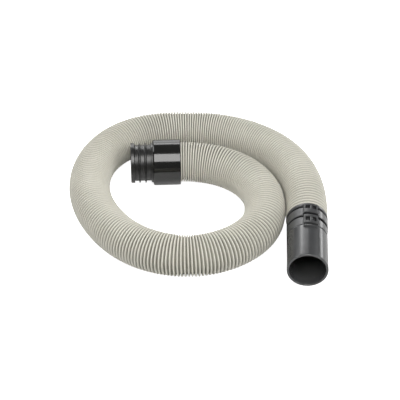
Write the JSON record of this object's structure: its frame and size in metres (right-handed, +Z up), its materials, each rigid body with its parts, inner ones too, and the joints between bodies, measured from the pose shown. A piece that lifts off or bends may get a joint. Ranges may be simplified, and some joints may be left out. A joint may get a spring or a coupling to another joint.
{
  "type": "vacuum cleaner hose",
  "caption": "Ribbed stretch hose of a vacuum cleaner lying in a spiral, with a stepped black machine cuff at its inner end and a grey wand cuff at its outer end.",
  "frame": {"origin": "middle of the object's box, on the floor that the coiled hose lies on", "axes": "+Z up from the floor; the wand cuff's axis runs along Y with its open mouth towards -Y; +X runs from the machine cuff's open end towards the wand cuff"},
  "size_m": [0.2584, 0.2416, 0.0463],
  "materials": {
    "hose": "light warm grey, satin, fine close ribs",
    "wand_cuff": "dark grey, satin moulded",
    "wand_ferrule": "near black, satin moulded",
    "machine_cuff": "black, polished",
    "seal": "black, soft, dull"
  },
  "bodies": {
    "root": {"hose": "hose", "wand_cuff": "wand_cuff", "wand_ferrule": "wand_ferrule", "machine_cuff": "machine_cuff", "spigot_seal": "seal"}
  },
  "joints": []
}
